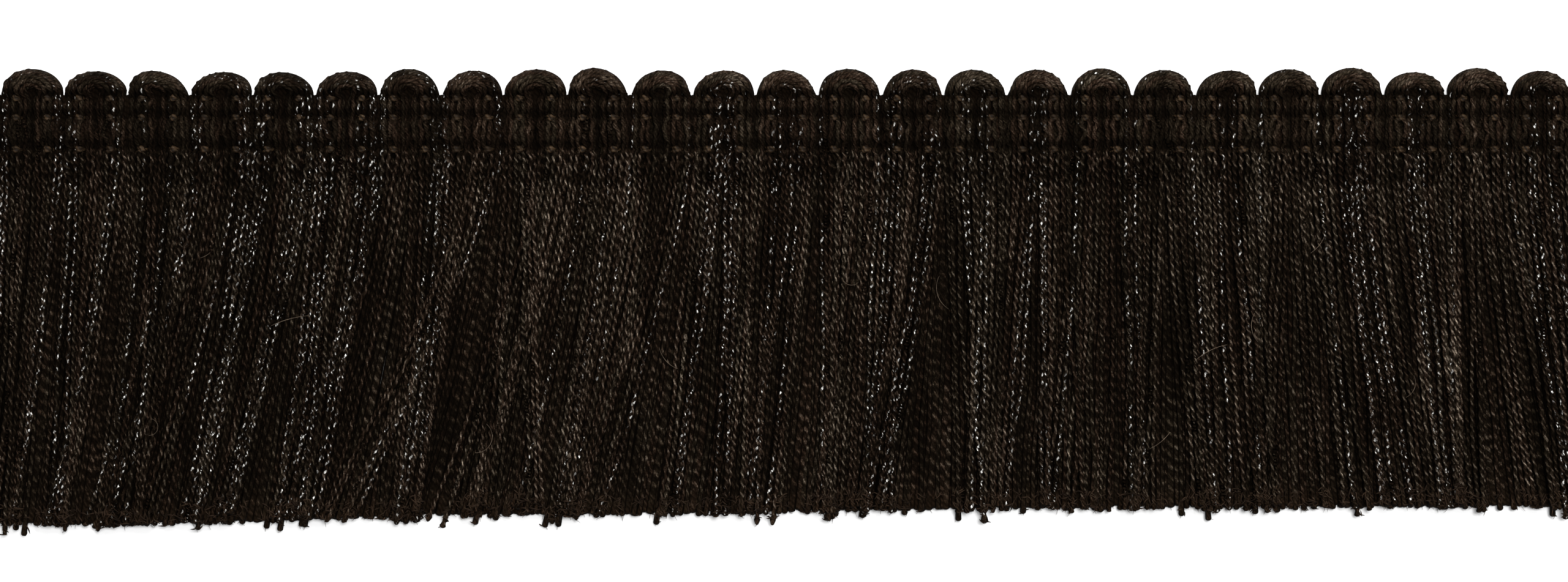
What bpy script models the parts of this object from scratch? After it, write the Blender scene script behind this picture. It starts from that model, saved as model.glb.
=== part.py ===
"""Fringe trim: looped bundles of yarn, three binding rows across them, and a skirt of cut strands.

Metres. The trim lies on its back. +X runs along it, +Y points to the looped edge, and +Z is its face.
Each piece is drawn from the crown line, y = 0, and the whole is centred at the end.
"""

import math
import random
from collections import namedtuple

import bmesh
import bpy

# Driving sizes of the looped heading
LOOP_COUNT = 27
LOOP_PITCH = 0.00675
LEG_PITCH = LOOP_PITCH / 2
LEG_WIDTH = 0.0030
LEG_THICK = 0.0030
WAIST_WIDTH = 0.00215
WAIST_THICK = 0.0011
CROWN_SPREAD = 0.00025

# The arch of a loop: outer curve and the small eye under it, both centred at one depth
ARCH_DEPTH = 0.0026
ARCH_STATIONS = 6
ARCH_START = math.radians(168)
EYE_REACH = 0.0006
EYE_RISE = 0.0003

# How far below the crown line each binding row crosses the legs
ROW_DEPTHS = {"binding_top": 0.0032, "binding_middle": 0.0053, "binding_bottom": 0.0087}
ROOT_DEPTH = 0.0097

# Binding rows: a front thread and a back thread, joined through each gap between two legs
THREAD_WIDTH = 0.0004
THREAD_THICK = 0.00032
THREAD_INSET = 0.0001
RUNG_WIDTH = 0.00045

# Strands: two layers that take turns across the trim
STRANDS_PER_LEG = 5
STRAND_PITCH = LEG_PITCH / STRANDS_PER_LEG
FRONT_WIDTH = 0.00062
FRONT_THICK = 0.0009
FRONT_REST = 0.0012
BACK_WIDTH = 0.0008
BACK_THICK = 0.00095
ROOT_SQUEEZE = 0.55
ROOT_WIDTH = 0.00048
FRONT_ROOT = 0.0015
BACK_ROOT = 0.00025
KNEE_DEPTH = 0.0125
END_SPREAD = 0.0005
LONG_END = 0.0009
LONG_SHARE = 0.08
STRAND_SWAY = 0.00008
LEG_SWAY = 0.00015
LEAN_POWER = 1.15

# How the skirt lies: share of the length, depth of the cut ends, sideways lean of the ends
Lie = namedtuple("Lie", "share depth lean")
SKIRT = (
    Lie(0.00, 0.0488, -0.0016),
    Lie(0.10, 0.0491, -0.0028),
    Lie(0.32, 0.0482, -0.0062),
    Lie(0.45, 0.0478, -0.0058),
    Lie(0.70, 0.0474, -0.0004),
    Lie(0.88, 0.0473, 0.0042),
    Lie(1.00, 0.0472, 0.0034),
)

# One cross-section of a leg: share of its half width and half thickness at each corner
LEG_SECTION = ((-1.0, 0.0), (-0.7, -1.0), (0.7, -1.0), (1.0, 0.0), (0.6, 1.0), (-0.6, 1.0))

# Where a leg is full and where a binding row draws it in, from its root up to the arch
Station = namedtuple("Station", "depth width thick")
LEG_STATIONS = (
    Station(ROOT_DEPTH, LEG_WIDTH, LEG_THICK),
    Station(ROW_DEPTHS["binding_bottom"], WAIST_WIDTH, WAIST_THICK),
    Station(0.0077, LEG_WIDTH, LEG_THICK),
    Station(0.0063, LEG_WIDTH, LEG_THICK),
    Station(ROW_DEPTHS["binding_middle"], WAIST_WIDTH, WAIST_THICK),
    Station(0.0043, LEG_WIDTH, LEG_THICK),
    Station(ROW_DEPTHS["binding_top"], WAIST_WIDTH, WAIST_THICK),
)

YARN_COLOUR = (0.012, 0.011, 0.010, 1.0)
THREAD_COLOUR = (0.045, 0.034, 0.026, 1.0)


def plain_material(name, colour, roughness, metallic=0.0):
    material = bpy.data.materials.new(name)
    material.use_nodes = True
    shader = material.node_tree.nodes["Principled BSDF"]
    shader.inputs["Base Color"].default_value = colour
    shader.inputs["Roughness"].default_value = roughness
    shader.inputs["Metallic"].default_value = metallic
    return material


def lie_at(share):
    """Depth of the cut ends and their lean at a share of the trim's length, between the table's rows."""
    share = min(max(share, 0.0), 1.0)
    for low, high in zip(SKIRT, SKIRT[1:]):
        if share <= high.share:
            part = (share - low.share) / (high.share - low.share)
            depth = low.depth + part * (high.depth - low.depth)
            return depth, low.lean + part * (high.lean - low.lean)
    return SKIRT[-1].depth, SKIRT[-1].lean


def bundle_route(crown):
    """Sections from one leg's root over the crown to the other's: outer edge, inner edge and thickness."""
    half = LEG_PITCH / 2
    left = []
    for depth, width, thick in LEG_STATIONS:
        left.append(((-half - width / 2, -depth), (-half + width / 2, -depth), thick))
    arch = []
    for step in range(ARCH_STATIONS):
        turn = step / (ARCH_STATIONS - 1)
        angle = ARCH_START + turn * (math.pi - 2 * ARCH_START)
        across, up = math.cos(angle), math.sin(angle)
        outer = ((half + LEG_WIDTH / 2) * across, (ARCH_DEPTH + crown) * up - ARCH_DEPTH)
        arch.append((outer, (EYE_REACH * across, EYE_RISE * up - ARCH_DEPTH), LEG_THICK))
    right = [((-outer[0], outer[1]), (-inner[0], inner[1]), thick) for outer, inner, thick in reversed(left)]
    return left + arch + right


def ring_of(mesh, outer, inner, thick):
    middle = [(a + b) / 2 for a, b in zip(outer, inner)]
    reach = [(a - b) / 2 for a, b in zip(outer, inner)]
    ring = []
    for across, up in LEG_SECTION:
        z = LEG_THICK / 2 + up * thick / 2
        ring.append(mesh.verts.new((middle[0] + across * reach[0], middle[1] + across * reach[1], z)))
    return ring


def join_rings(mesh, first, second):
    for k in range(len(first)):
        after = (k + 1) % len(first)
        mesh.faces.new((first[k], first[after], second[after], second[k]))


def strand_section(layer, width, low, thick):
    """Corners of a strand: four in the front layer, three with a flat foot in the back one."""
    half = width / 2
    if layer == "front":
        return ((-half, low), (half, low), (half, low + thick), (-half, low + thick))
    return ((-half, low), (half, low), (0.0, low + thick))


def add_strand(mesh, layer, route):
    """Grows one strand through its sections and returns the ring at its root, left open there."""
    rings = []
    for x, y, width, low, thick in route:
        corners = strand_section(layer, width, low, thick)
        rings.append([mesh.verts.new((x + across, y, z)) for across, z in corners])
    for first, second in zip(rings, rings[1:]):
        join_rings(mesh, first, second)
    mesh.faces.new(rings[-1])
    return rings[0]


def strand_route(layer, leg_x, lane_x, loop_x, leg_sway, rng):
    """Three sections of a strand: its root in the leg's end, its knee and its cut end."""
    share = (loop_x + lane_x) / (LOOP_COUNT * LOOP_PITCH)
    depth, lean = lie_at(share)
    depth += rng.uniform(-END_SPREAD, END_SPREAD)
    if rng.random() < LONG_SHARE:
        depth += LONG_END
    lean += leg_sway + rng.uniform(-STRAND_SWAY, STRAND_SWAY)
    root_x = leg_x + (lane_x - leg_x) * ROOT_SQUEEZE
    knee_share = (KNEE_DEPTH - ROOT_DEPTH) / (depth - ROOT_DEPTH)
    knee_x = lane_x + lean * knee_share**LEAN_POWER
    if layer == "front":
        root_low, rest, width, thick = FRONT_ROOT, FRONT_REST, FRONT_WIDTH, FRONT_THICK
    else:
        root_low, rest, width, thick = BACK_ROOT, 0.0, BACK_WIDTH, BACK_THICK
    return (
        (root_x, -ROOT_DEPTH, ROOT_WIDTH, root_low, thick),
        (knee_x, -KNEE_DEPTH, width, rest, thick),
        (lane_x + lean, -depth, width, rest, thick),
    )


def ring_edges(mesh, ring):
    return [mesh.edges.get((ring[k], ring[(k + 1) % len(ring)])) for k in range(len(ring))]


def close_leg_end(mesh, leg_ring, root_rings):
    """Fills the leg's end around the roots of its strands."""
    edges = ring_edges(mesh, leg_ring)
    for ring in root_rings:
        edges += ring_edges(mesh, ring)
    bmesh.ops.triangle_fill(mesh, use_beauty=True, use_dissolve=False, edges=edges)


def object_from(mesh, name, material, x):
    bmesh.ops.recalc_face_normals(mesh, faces=mesh.faces)
    data = bpy.data.meshes.new(name)
    mesh.to_mesh(data)
    mesh.free()
    data.materials.append(material)
    made = bpy.data.objects.new(name, data)
    made.location.x = x
    bpy.context.collection.objects.link(made)
    return made


def yarn_bundle(number, material, rng):
    """One looped bundle of yarns, with its two legs and the strands they end in."""
    loop_x = (number + 0.5) * LOOP_PITCH
    mesh = bmesh.new()
    route = bundle_route(rng.uniform(-CROWN_SPREAD, CROWN_SPREAD))
    rings = [ring_of(mesh, *section) for section in route]
    for first, second in zip(rings, rings[1:]):
        join_rings(mesh, first, second)
    for leg, leg_ring in enumerate((rings[0], rings[-1])):
        leg_x = (leg - 0.5) * LEG_PITCH
        leg_sway = rng.uniform(-LEG_SWAY, LEG_SWAY)
        roots = []
        for place in range(STRANDS_PER_LEG):
            lane = leg * STRANDS_PER_LEG + place
            layer = "back" if lane % 2 else "front"
            lane_x = (lane + 0.5) * STRAND_PITCH - LOOP_PITCH / 2
            strand = strand_route(layer, leg_x, lane_x, loop_x, leg_sway, rng)
            roots.append(add_strand(mesh, layer, strand))
        close_leg_end(mesh, leg_ring, roots)
    bundle = object_from(mesh, f"bundle_{number + 1:02d}", material, loop_x)
    bundle.data.shade_smooth()
    bundle.data.set_sharp_from_angle(angle=math.radians(50))
    return bundle


def rectangle(mesh, x_low, x_high, y, z_low, z_high):
    corners = ((x_low, z_low), (x_high, z_low), (x_high, z_high), (x_low, z_high))
    return [mesh.verts.new((x, y, z)) for x, z in corners]


def binding_row(name, depth, material):
    """One row of binding: threads over and under the legs, with a crossing in every gap."""
    half_rung = RUNG_WIDTH / 2
    legs = LOOP_COUNT * 2
    front = LEG_THICK - THREAD_INSET
    inner_low, inner_high = THREAD_INSET + THREAD_THICK, front - THREAD_THICK
    y = -depth - THREAD_WIDTH / 2
    mesh = bmesh.new()
    outline = rectangle(mesh, -half_rung, legs * LEG_PITCH + half_rung, y, THREAD_INSET, front)
    rings = [outline]
    for leg in range(legs):
        x_low, x_high = leg * LEG_PITCH + half_rung, (leg + 1) * LEG_PITCH - half_rung
        rings.append(rectangle(mesh, x_low, x_high, y, inner_low, inner_high))
    edges = []
    for ring in rings:
        edges += [mesh.edges.new((ring[k], ring[(k + 1) % 4])) for k in range(4)]
    filled = bmesh.ops.triangle_fill(mesh, use_beauty=True, use_dissolve=False, edges=edges)
    side = [item for item in filled["geom"] if isinstance(item, bmesh.types.BMFace)]
    grown = bmesh.ops.extrude_face_region(mesh, geom=side, use_keep_orig=True)
    moved = [item for item in grown["geom"] if isinstance(item, bmesh.types.BMVert)]
    bmesh.ops.translate(mesh, vec=(0.0, THREAD_WIDTH, 0.0), verts=moved)
    return object_from(mesh, name, material, 0.0)


def centre_on_footprint(pieces):
    """Hangs the pieces on one empty, so that the middle of the trim's footprint is the origin."""
    points = [piece.location + v.co for piece in pieces for v in piece.data.vertices]
    anchor = bpy.data.objects.new("trim_centre", None)
    bpy.context.collection.objects.link(anchor)
    for axis in (0, 1):
        low, high = min(p[axis] for p in points), max(p[axis] for p in points)
        anchor.location[axis] = -(low + high) / 2
    for piece in pieces:
        piece.parent = anchor


def main():
    for old in list(bpy.data.objects):
        bpy.data.objects.remove(old, do_unlink=True)
    rng = random.Random(27)
    yarn = plain_material("charcoal_yarn", YARN_COLOUR, 0.75)
    thread = plain_material("binding_thread", THREAD_COLOUR, 0.45)
    pieces = [yarn_bundle(number, yarn, rng) for number in range(LOOP_COUNT)]
    pieces += [binding_row(name, depth, thread) for name, depth in ROW_DEPTHS.items()]
    centre_on_footprint(pieces)


main()
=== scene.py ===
"""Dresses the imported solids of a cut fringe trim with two-ply yarns, binding threads and loose fibres.

Lengths are in metres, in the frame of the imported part: +X along the trim, +Y to the looped edge, +Z its face.
"""

import math
from collections import namedtuple

import bpy
import numpy as np
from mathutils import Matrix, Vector


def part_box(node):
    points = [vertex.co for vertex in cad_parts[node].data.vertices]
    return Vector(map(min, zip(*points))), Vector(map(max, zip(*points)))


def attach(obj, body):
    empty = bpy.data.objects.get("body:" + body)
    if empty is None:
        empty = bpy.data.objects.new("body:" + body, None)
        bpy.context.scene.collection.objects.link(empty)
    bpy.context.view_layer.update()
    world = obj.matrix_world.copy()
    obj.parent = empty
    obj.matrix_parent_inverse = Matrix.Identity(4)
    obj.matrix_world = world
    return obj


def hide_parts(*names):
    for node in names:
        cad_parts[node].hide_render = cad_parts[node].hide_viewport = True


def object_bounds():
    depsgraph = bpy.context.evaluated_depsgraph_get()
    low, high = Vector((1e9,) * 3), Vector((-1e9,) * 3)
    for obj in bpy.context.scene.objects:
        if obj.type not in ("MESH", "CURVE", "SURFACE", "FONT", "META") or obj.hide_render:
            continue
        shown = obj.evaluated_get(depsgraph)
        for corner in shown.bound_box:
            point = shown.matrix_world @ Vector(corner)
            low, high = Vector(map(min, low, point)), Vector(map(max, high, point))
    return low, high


bl_info = {
    "name": "Fringe Trim",
    "version": (1, 0, 0),
    "blender": (4, 5, 0),
    "location": "3D View > Sidebar > Fringe",
    "description": "Two-ply yarns, binding threads and loose fibres for a cut fringe with a looped heading",
    "category": "Add Mesh",
}

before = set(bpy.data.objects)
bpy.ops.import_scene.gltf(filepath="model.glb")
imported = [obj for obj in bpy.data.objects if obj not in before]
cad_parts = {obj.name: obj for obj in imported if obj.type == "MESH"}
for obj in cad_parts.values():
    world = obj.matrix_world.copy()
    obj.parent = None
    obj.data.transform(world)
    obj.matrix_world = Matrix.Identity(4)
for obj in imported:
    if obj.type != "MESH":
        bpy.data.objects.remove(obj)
CAD_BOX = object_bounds()
TAU = 2 * math.pi

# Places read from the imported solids
BUNDLES = sorted(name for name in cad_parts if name.startswith("bundle_"))
ROWS = ("binding_top", "binding_middle", "binding_bottom")
ROW_Y = [(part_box(name)[0].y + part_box(name)[1].y) / 2 for name in ROWS]
ROW_ENDS = (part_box(ROWS[0])[0].x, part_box(ROWS[0])[1].x)
CROSSING_WIDTH = 0.00045
LOOP_PITCH = (ROW_ENDS[1] - ROW_ENDS[0] - CROSSING_WIDTH) / len(BUNDLES)
LEG_PITCH = LOOP_PITCH / 2
TRIM_LEFT = ROW_ENDS[0] + CROSSING_WIDTH / 2
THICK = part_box(BUNDLES[0])[1].z
CROWN_LINE = ROW_Y[0] + 0.0032

# A leg's sections: depth below the crown line, width, thickness, and girth and stray of its yarns.
# The rows of binding draw it in
Section = namedtuple("Section", "depth width thick girth stray")
FULL_WIDTH = 0.00348
LEG = (
    Section(0.0096, FULL_WIDTH, THICK, 1.05, 0.00012),
    Section(CROWN_LINE - ROW_Y[2], 0.0031, 0.0016, 0.88, 0.00005),
    Section(0.0080, 0.0034, 0.0022, 1.0, 0.00014),
    Section(0.0070, FULL_WIDTH, 0.0029, 1.1, 0.00018),
    Section(0.0060, FULL_WIDTH, THICK, 1.1, 0.00014),
    Section(CROWN_LINE - ROW_Y[1], 0.0031, 0.0017, 0.88, 0.00005),
    Section(0.0043, 0.0034, 0.0026, 1.05, 0.00012),
    Section(CROWN_LINE - ROW_Y[0], 0.0032, 0.0017, 0.90, 0.00005),
)

# The crowns: how deep their arch is, where round it and at how many places yarns are led, and their girth
# and stray, the arch's distance from the crown's edge, how it varies in width and lean, and the loop's eye
ARCH_DEPTH = 0.0026
ARCH_START = math.radians(168)
ARCH_STATIONS = 7
ARCH_GIRTH = 1.12
ARCH_STRAY = 0.00003
CROWN_GAP = 0.00014
CROWN_SLIM = (-0.00006, 0.00030)
CROWN_SKEW = 0.00022
EYE_REACH = 0.00045
EYE_RISE = 0.00040

# Where each yarn sits in a leg's section, in order round it: across to the outer side, up to the face
Seat = namedtuple("Seat", "across up layer")
SEATS = (
    Seat(-0.26, 1.00, "front"),
    Seat(0.26, 1.00, "front"),
    Seat(0.76, 0.74, "front"),
    Seat(1.00, 0.15, "front"),
    Seat(1.05, -0.50, "back"),
    Seat(0.72, -1.00, "back"),
    Seat(0.24, -1.00, "back"),
    Seat(-0.24, -1.00, "back"),
    Seat(-0.72, -1.00, "back"),
    Seat(-1.05, -0.50, "back"),
    Seat(-1.00, 0.15, "front"),
    Seat(-0.76, 0.74, "front"),
)

# How the skirt lies along its length: depth of the cut ends, their sideways lean, and how far
# clumps differ in lean
Lie = namedtuple("Lie", "share depth lean spread")
SKIRT = (
    Lie(0.00, 0.0483, -0.0028, 0.0012),
    Lie(0.10, 0.0487, -0.0046, 0.0022),
    Lie(0.22, 0.0484, -0.0064, 0.0030),
    Lie(0.32, 0.0477, -0.0072, 0.0038),
    Lie(0.40, 0.0477, -0.0063, 0.0034),
    Lie(0.48, 0.0474, -0.0040, 0.0018),
    Lie(0.70, 0.0468, -0.0002, 0.0016),
    Lie(0.84, 0.0468, 0.0038, 0.0020),
    Lie(1.00, 0.0467, 0.0034, 0.0014),
)
USUAL_SPREAD = 0.0020
LANES = 6
LANE_PITCH = LEG_PITCH / LANES

# How many yarns of each bundle are metallic, from left to right
METALLIC = (2, 2, 2, 1, 3, 4, 4, 2, 2, 0, 1, 1, 3, 2, 1, 3, 2, 2, 1, 1, 1, 1, 3, 2, 1, 2, 2)

# The strands below a leg part into two clumps: the lanes that each takes, its lean, how much longer and
# higher it is than the rest, and how far its strands draw together
Clump = namedtuple("Clump", "lanes lean longer up squeeze")
CLUMP_UP = (0.0, 0.00075)
CLUMP_SQUEEZE = (0.05, 0.50)
FEWEST_LANES = 2
# A clump's own share of the difference in lean, and how many times that difference it may reach
CLUMP_OWN = 0.5
MOST_LEAN = 2.2

# The strands lie in three layers: heights of odd and even strands, sideways shift, shares of the stray, of
# the clump's ways and of its squeeze that the layer takes, girth, and how much longer its strands are
Layer = namedtuple("Layer", "heights shift stray clump squeeze girth longer")
LAYERS = {
    "front": Layer((0.00150, 0.00176), 0.0, 1.0, 1.0, 1.0, 1.0, 0.0002),
    "back": Layer((0.00102, 0.00122), 0.00026, 1.2, 0.30, 0.2, 1.12, 0.0003),
    "deep": Layer((0.00064, 0.00066), 0.00010, 0.15, 0.0, 0.0, 1.90, 0.0001),
}
# The deepest strands run up behind the heading, the inner ones as far as the eye of the loop
DEEP_TOP = {"outer": 0.0030, "inner": 0.0018}
DEEP_STEM = (0.0055, 0.0080, 0.0100)
DEEP_HEIGHT = 0.0010
SKIRT_START = 0.0125
SKIRT_KEYS = 9
# A few strands are cut longer: their share, and by how much
LONG_SHARE = 0.08
LONG_BY = (0.0004, 0.0011)
HEIGHT_STRAY = 0.00008
# A strand leans more and more towards its end, by this power of the share of its length
LEAN_POWER = (1.05, 1.30)
# A strand has one long wave and one of ripples: how many of each lie along it, and how wide they swing
Wave = namedtuple("Wave", "number width")
WAVES = (Wave((0.4, 1.6), (0.00008, 0.00024)), Wave((2.0, 3.4), (0.00003, 0.00010)))
STRIP_SIZES = {"front": 1.0, "back": 0.7, "deep": 0.35}

# Heights over which the finish of the heading, and of the crowns, fades in, and over which yarns tighten
HEADING_FADE = ROW_Y[2] - 0.0006, ROW_Y[2] + 0.0004
CROWN_FADE = ROW_Y[0] + 0.0002, ROW_Y[0] + 0.0014
DRAWN_TIGHT = ROW_Y[0] - 0.0004, ROW_Y[0] + 0.0004

# Points along a yarn are a step apart, and closer by a share over the crown, most of all on its rim
STEPS_ALONG = {"front": 0.00035, "back": 0.0012, "deep": 0.0018}
CROWN_STEPS = {"rim": 0.28, "inside": 0.6}
YARN_SIDES, THREAD_SIDES, FIBRE_SIDES = 6, 5, 3
BUNDLES_PER_PIECE = 3
# How far the middle of a yarn keeps from the sides of its leg
YARN_REACH = 0.00034

# Cut ends: lengths that fray, open out and are rounded off, and how far each step of the tip is drawn in
FRAYED_LENGTH = 0.0024
OPEN_LENGTH = 0.0016
OPENED_GIRTH = 0.22
TIP_LENGTH = 0.00022
TIP_STEPS = np.array((1.0, 0.6))
TIP_GIRTHS = np.array((0.35, 0.78))
FELTED_HEIGHT = 0.0009

# Felted fibres: how far above the cut end and over the strand they lie, their lengths, and their girths along
FELT_ABOVE = (0.0001, 0.0020)
FELT_OVER = (0.00022, 0.00036)
FELT_LENGTH = (0.0005, 0.0011)
FELT_GIRTHS = (2.0, 5.2, 4.8, 1.8)
# Fibres that splay from a cut end
SPLAY_LENGTH = (0.00015, 0.0004)
SPLAY_CURL = 0.00018
SPLAY_GIRTHS = (1.8, 1.8, 1.4, 0.8)
# Long stray fibres: depths below the crown line, height, lengths and bend
STRAY_DEPTH = (0.011, 0.0455)
STRAY_HEIGHT = 0.00262
STRAY_LENGTH = (0.0010, 0.0048)
STRAY_BEND = 1.7

# The twist: how far a yarn's lay strays from the usual, by its share, and the sizes and lengths of its sway
LAY_STRAY = 0.07
SWAY_SIZES = (0.5, 1.1)
SWAY_LENGTHS = (0.006, 0.020)

# A metallic yarn is thicker, and its filament winds round it the other way
METALLIC_GIRTH = 1.2
FILAMENT_LAY = 0.0024

# Colours of the yarns' stray pale fibres, of frayed ends and of fibres that catch the light, the shade of
# the plies of a metallic yarn, and the tint of all their sheen
PALE_FIBRE = (0.16, 0.135, 0.10, 1.0)
FRAYED_COLOUR = (0.050, 0.028, 0.015, 1.0)
GREYED_COLOUR = (0.052, 0.0425, 0.0330, 1.0)
METALLIC_SHADE = (0.62, 0.62, 0.62, 1.0)
WARM_SHEEN = (1.0, 0.70, 0.48, 1.0)

# The binding threads: how far they rise and fall, and the distance between their points
THREAD_RISE = 0.00084
THREAD_STEP = 0.00030
# The three threads of a row: the share of the wave that each follows and how far it lies up, then, in thread
# radii, how far it lies to the side and how far it swings across in the gaps
Thread = namedtuple("Thread", "rise drop side cross")
BINDING_THREADS = (
    Thread(1.0, 0.0, 0.7, 0.50),
    Thread(1.0, 0.0, -0.7, -0.50),
    Thread(-0.35, -0.75, 0.0, 0.60),
)

# The stage: the floor, the lights with their shares of the key light's power, and how far the middle of the
# second loop stands inside the frame's left edge
FLOOR_HALF = 1.5
FLOOR_DROP = 0.00006
Light = namedtuple("Light", "name place size share")
LIGHTS = (
    Light("key", (0.10, 0.40, 0.50), 0.45, 1.0),
    Light("above", (0.06, 0.06, 0.70), 0.16, 0.8),
)
LOOP_INSIDE_EDGE = 0.00376


def amount_field(label, purpose, default, **limits):
    return bpy.props.FloatProperty(name=label, description=purpose, default=default, **limits)


def length_field(label, purpose, default, **shown):
    return amount_field(label, purpose, default, unit="LENGTH", **shown)


def count_field(label, purpose, default, **limits):
    return bpy.props.IntProperty(name=label, description=purpose, default=default, **limits)


def colour_field(label, purpose, default):
    return bpy.props.FloatVectorProperty(name=label, description=purpose, default=default, subtype="COLOR")


class FringeSizes(bpy.types.PropertyGroup):
    """Sizes of the yarns, threads and fibres."""

    ply_radius: length_field("Ply radius", "Radius of one ply of a yarn", 0.000175, precision=6)
    ply_spread: length_field(
        "Ply spread", "Distance of a ply's centre from the yarn's", 0.000130, precision=6
    )
    lay: length_field("Lay", "Length of yarn in which its plies turn once", 0.0019, precision=5)
    fanning: amount_field(
        "Fanning", "How far clumps of strands lean apart, against the usual", 1.0, min=0.0, max=2.0
    )
    stray: length_field("Stray", "How far one strand strays from its neighbours", 0.00034, precision=5)
    uneven: length_field("Uneven ends", "How far the cut ends differ in depth", 0.00026, precision=5)
    sparkle: amount_field("Sparkle", "Metallic yarns, against the usual number", 1.0, min=0.0, max=1.5)
    thread_radius: length_field("Thread radius", "Radius of a binding thread", 0.00020, precision=6)
    fibre_radius: length_field("Fibre radius", "Radius of a loose fibre", 0.000018, precision=6)
    felt_fibres: count_field(
        "Felted fibres", "Short fibres that cross each cut end but the deepest", 4, min=0, max=20
    )
    fibres_per_end: count_field("Fibres at an end", "Loose fibres at each cut end", 1, min=0, max=12)
    stray_fibres: count_field("Stray fibres", "Long loose fibres lying on the skirt", 18, min=0, max=200)
    seed: count_field("Seed", "Seed of everything that varies", 5)


class FringeColours(bpy.types.PropertyGroup):
    """Colours of the yarns, threads, fibres and floor."""

    warm: colour_field("Warm charcoal", "Warmest tint of the plain yarn", (0.055, 0.0318, 0.0200))
    cool: colour_field("Cool charcoal", "Coolest tint of the plain yarn", (0.0440, 0.0318, 0.0195))
    glint: colour_field("Filament", "Metallic filament", (0.90, 0.88, 0.84))
    thread: colour_field("Binding thread", "Binding thread", (0.048, 0.029, 0.015))
    felt: colour_field("Felt", "Felted fibres on the cut ends", (0.0130, 0.0076, 0.0044))
    fibre: colour_field("Stray fibre", "Stray fibre", (0.14, 0.105, 0.075))
    floor: colour_field("Floor", "Floor", (0.94, 0.94, 0.94))


class FringeStage(bpy.types.PropertyGroup):
    """Camera and lights."""

    frame_width: length_field("Frame width", "Width of the camera's frame on the trim", 0.16896)
    crown_above: length_field("Crown above middle", "Crown line above the frame's middle", 0.0239)
    lens: amount_field("Lens", "Focal length in millimetres", 100.0, min=20.0)
    key: amount_field("Key", "Power of the key light in watts", 5.1, min=0.0)
    sky: amount_field("Sky", "Strength of the light all round", 0.36, min=0.0)


def settings():
    """The sizes, colours and stage values that the panel shows."""
    scene = bpy.context.scene
    return scene.fringe_sizes, scene.fringe_colours, scene.fringe_stage


def feed(tree, node, inputs):
    """Fills sockets of a node. inputs maps their names or numbers to values or to other nodes' outputs."""
    for key, value in dict(inputs).items():
        if isinstance(value, bpy.types.NodeSocket):
            tree.links.new(value, node.inputs[key])
        else:
            node.inputs[key].default_value = value
    return node


def add(tree, kind, inputs=(), **values):
    """Adds a node with the given settings and fills its sockets."""
    node = tree.nodes.new(kind)
    for name, value in values.items():
        setattr(node, name, value)
    return feed(tree, node, inputs)


def calc(tree, operation, *terms):
    """A Math node on numbers or other nodes' outputs."""
    return add(tree, "ShaderNodeMath", enumerate(terms), operation=operation).outputs[0]


def times(tree, first, *others):
    """Multiplies values."""
    for other in others:
        first = calc(tree, "MULTIPLY", first, other)
    return first


def plus(tree, first, second):
    return calc(tree, "ADD", first, second)


def minus(tree, first, second):
    return calc(tree, "SUBTRACT", first, second)


def lessened(tree, value, share):
    """The value less the given share of itself."""
    return times(tree, value, minus(tree, 1.0, share))


def stretch(tree, value, low, high, to_low=0.0, to_high=1.0):
    """Maps low to high onto to_low to to_high, smoothly and no further."""
    ends = {"From Min": low, "From Max": high, "To Min": to_low, "To Max": to_high}
    made = add(tree, "ShaderNodeMapRange", {"Value": value, **ends}, interpolation_type="SMOOTHSTEP")
    return made.outputs[0]


def blend_colours(tree, factor, first, second, blend_type="MIX"):
    """Mixes two colours by the factor, or multiplies the second into the first."""
    inputs = {0: factor, 6: first, 7: second}
    return add(tree, "ShaderNodeMix", inputs, data_type="RGBA", blend_type=blend_type).outputs[2]


def rgba(colour, shade=1.0):
    """The colour as a socket takes it, made lighter or darker by the shade."""
    return (*(part * shade for part in colour), 1.0)


def noise(tree, scale, detail=2.0, vector=None, w=None, roughness=0.5):
    """A noise texture's value: over space, along w alone, or over space and changing with w."""
    inputs = {"Vector": vector, "W": w, "Scale": scale, "Detail": detail, "Roughness": roughness}
    inputs = {name: value for name, value in inputs.items() if value is not None}
    dimensions = "3D" if w is None else "1D" if vector is None else "4D"
    return add(tree, "ShaderNodeTexNoise", inputs, noise_dimensions=dimensions).outputs[0]


def object_place(tree):
    return add(tree, "ShaderNodeTexCoord").outputs["Object"]


def split_parts(tree, vector):
    """The x, y and z of a vector."""
    return add(tree, "ShaderNodeSeparateXYZ", {0: vector}).outputs


def join_parts(tree, x, y, z):
    return add(tree, "ShaderNodeCombineXYZ", {0: x, 1: y, 2: z}).outputs[0]


def attribute(tree, name, output="Fac"):
    """A value that each point of the mesh carries."""
    return add(tree, "ShaderNodeAttribute", attribute_name=name).outputs[output]


def sockets(kind, *titles):
    """Describes sockets of one kind."""
    return tuple((title, "NodeSocket" + kind) for title in titles)


def node_group(kind, name, inputs, outputs):
    """Starts a node group. Returns it, what it is given and the node that takes what it makes."""
    group = bpy.data.node_groups.new(name, kind)
    for way, described in (("INPUT", inputs), ("OUTPUT", outputs)):
        for title, socket in described:
            group.interface.new_socket(title, in_out=way, socket_type=socket)
    return group, add(group, "NodeGroupInput").outputs, add(group, "NodeGroupOutput")


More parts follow.
